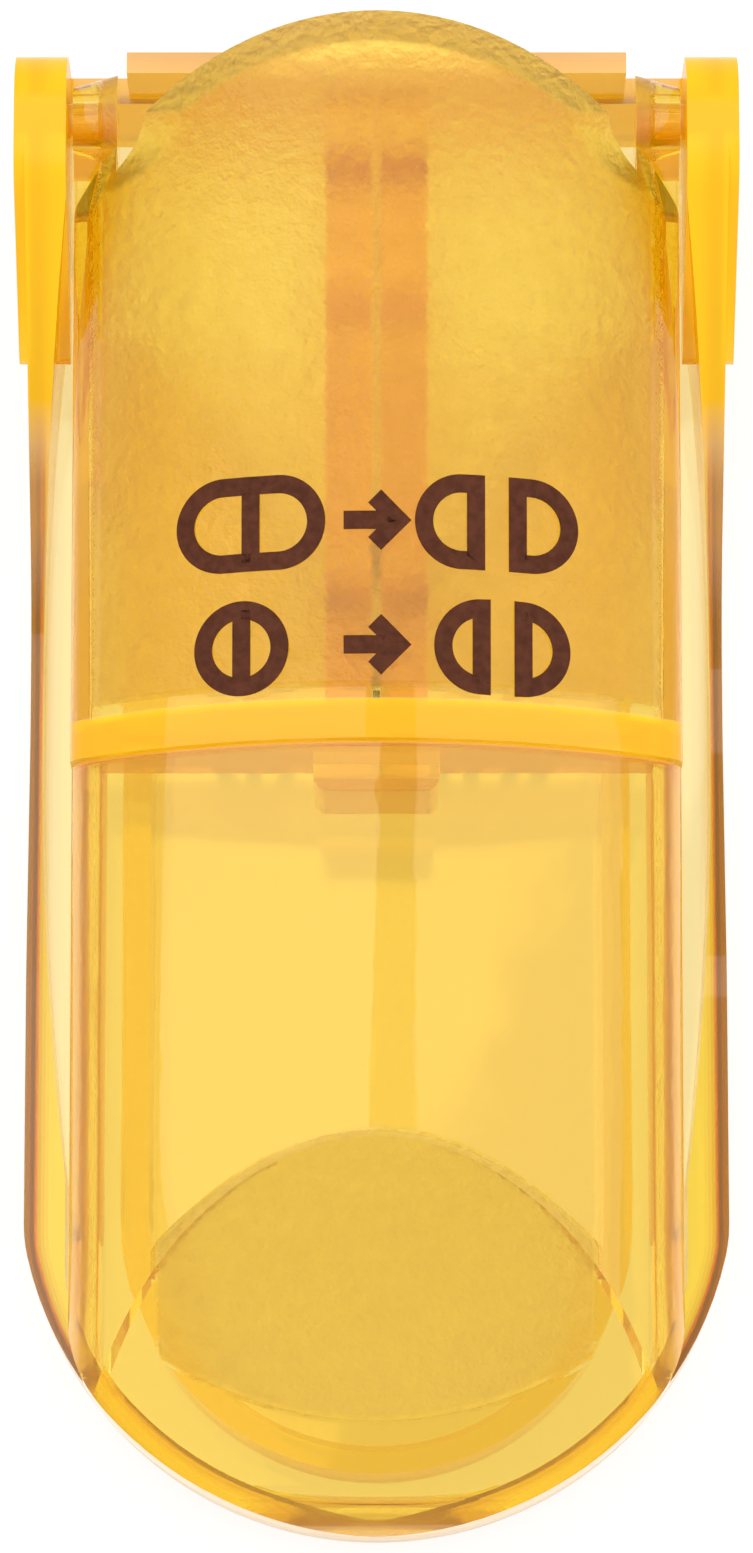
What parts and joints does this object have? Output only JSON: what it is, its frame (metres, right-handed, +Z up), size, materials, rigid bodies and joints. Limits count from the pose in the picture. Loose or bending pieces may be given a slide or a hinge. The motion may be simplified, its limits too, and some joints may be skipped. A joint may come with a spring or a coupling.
{
  "type": "pill splitter",
  "caption": "Pocket pill splitter: a hinged see-through lid with a blade inside closes on a base with a V pill cradle and a storage tray.",
  "frame": {"origin": "on the ground, under the middle of the object's box", "axes": "+Z up, +Y towards the hinge end, +X to the right seen from the front"},
  "size_m": [0.0404, 0.0824, 0.0235],
  "materials": {
    "amber_base": "clear amber polycarbonate, glossy",
    "amber_insert": "clear amber polycarbonate, glossy",
    "amber_lid": "clear amber polycarbonate, glossy front, frosted hood and thumb pad",
    "amber_holder": "amber plastic, satin",
    "grip": "soft clear elastomer, matt",
    "blade_steel": "stainless steel with a ground edge"
  },
  "bodies": {
    "base": {"base_shell": "amber_base", "pill_cradle": "amber_insert", "cradle_grip_left": "grip", "cradle_grip_right": "grip", "storage_tray": "amber_insert", "hinge_pin_left": "amber_base", "hinge_pin_right": "amber_base"},
    "lid": {"lid_shell": "amber_lid", "blade_holder_left": "amber_holder", "blade_holder_right": "amber_holder", "blade": "blade_steel", "blade_stud_front": "amber_holder", "blade_stud_rear": "amber_holder", "blade_keeper": "amber_holder"}
  },
  "joints": [
    {"name": "lid_hinge", "type": "hinge", "parent": "base", "child": "lid", "pos_m": [0, 0.0376, 0.014], "axis": [-1, 0, 0], "range_deg": [0, 110]}
  ]
}
